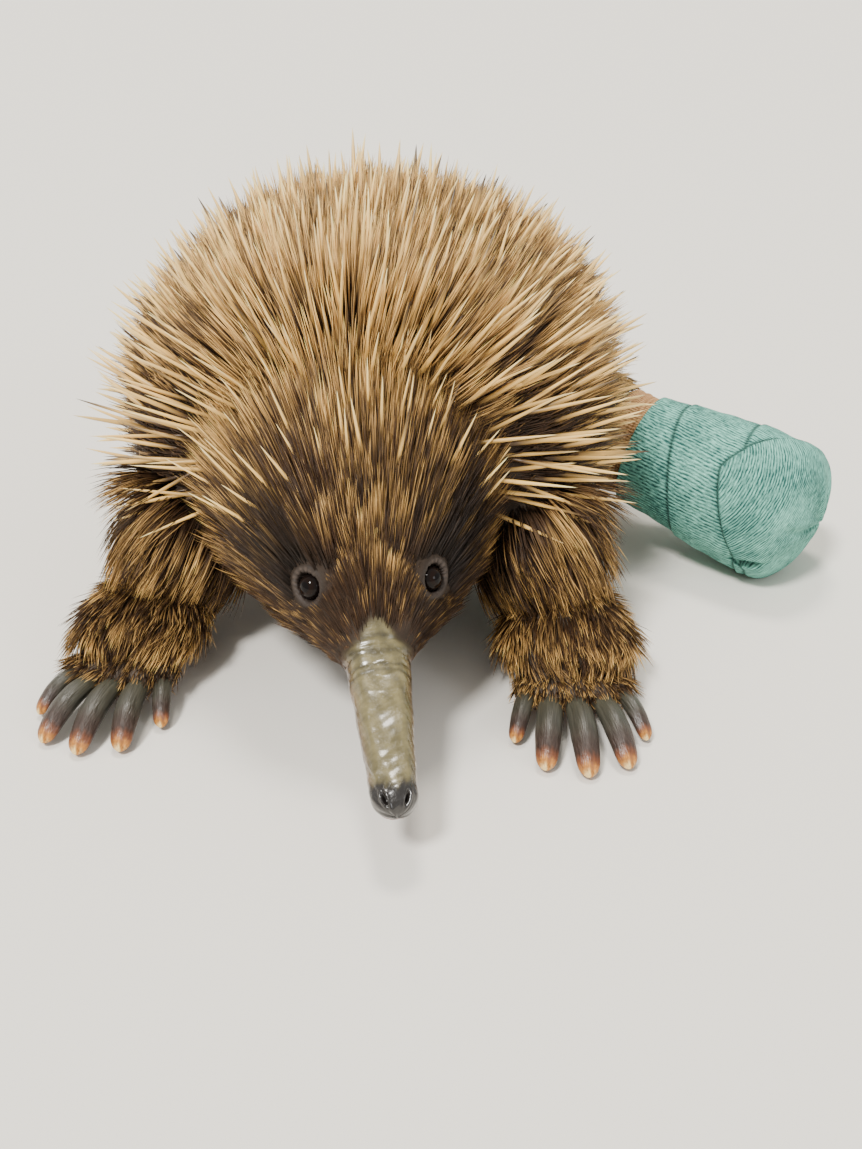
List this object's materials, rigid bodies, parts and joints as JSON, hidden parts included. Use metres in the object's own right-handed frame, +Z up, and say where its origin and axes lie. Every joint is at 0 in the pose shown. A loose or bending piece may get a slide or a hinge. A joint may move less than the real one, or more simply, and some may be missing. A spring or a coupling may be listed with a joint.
{
  "type": "echidna",
  "caption": "Short-beaked echidna standing on its feet, coat of spines and fur, bare beak, digging claws, and a green padded bandage on the left hind leg.",
  "frame": {"origin": "on the floor, under the middle of the whole model seen from above", "axes": "+Z up, -Y the way it faces, +X its left side, where the bandaged leg is"},
  "size_m": [0.3534, 0.4478, 0.1877],
  "materials": {
    "spines": "smooth horn, cream to straw with darker tips, over dark brown fur",
    "fur": "dense dark brown fur with golden tips",
    "paw": "bare wrinkled skin below, short brown fur above",
    "claw": "dark olive grey horn going to red-brown and amber at the tip",
    "eye": "wet, dark brown-black",
    "beak": "bare grey-olive skin, moist, with faint cross wrinkles and specks",
    "vent": "bare, glossy, grey-pink skin",
    "bandage": "crinkled knitted self-sticking wrap, teal green",
    "cuff": "tan elastic tape with a fine weave"
  },
  "bodies": {
    "root": {"arm_left": "fur", "arm_right": "fur", "bandage_cuff": "cuff", "bandage_wrap": "bandage", "beak": "beak", "claw_fore_left_1": "claw", "claw_fore_left_2": "claw", "claw_fore_left_3": "claw", "claw_fore_left_4": "claw", "claw_fore_left_5": "claw", "claw_fore_right_1": "claw", "claw_fore_right_2": "claw", "claw_fore_right_3": "claw", "claw_fore_right_4": "claw", "claw_fore_right_5": "claw", "claw_hind_right_1": "claw", "claw_hind_right_2": "claw", "claw_hind_right_3": "claw", "claw_hind_right_4": "claw", "claw_hind_right_5": "claw", "eye_left": "eye", "eye_right": "eye", "foot_right": "paw", "hand_left": "paw", "hand_right": "paw", "head": "fur", "tail": "spines", "thigh_left": "fur", "thigh_right": "fur", "torso": "spines", "vent": "vent"}
  },
  "joints": []
}
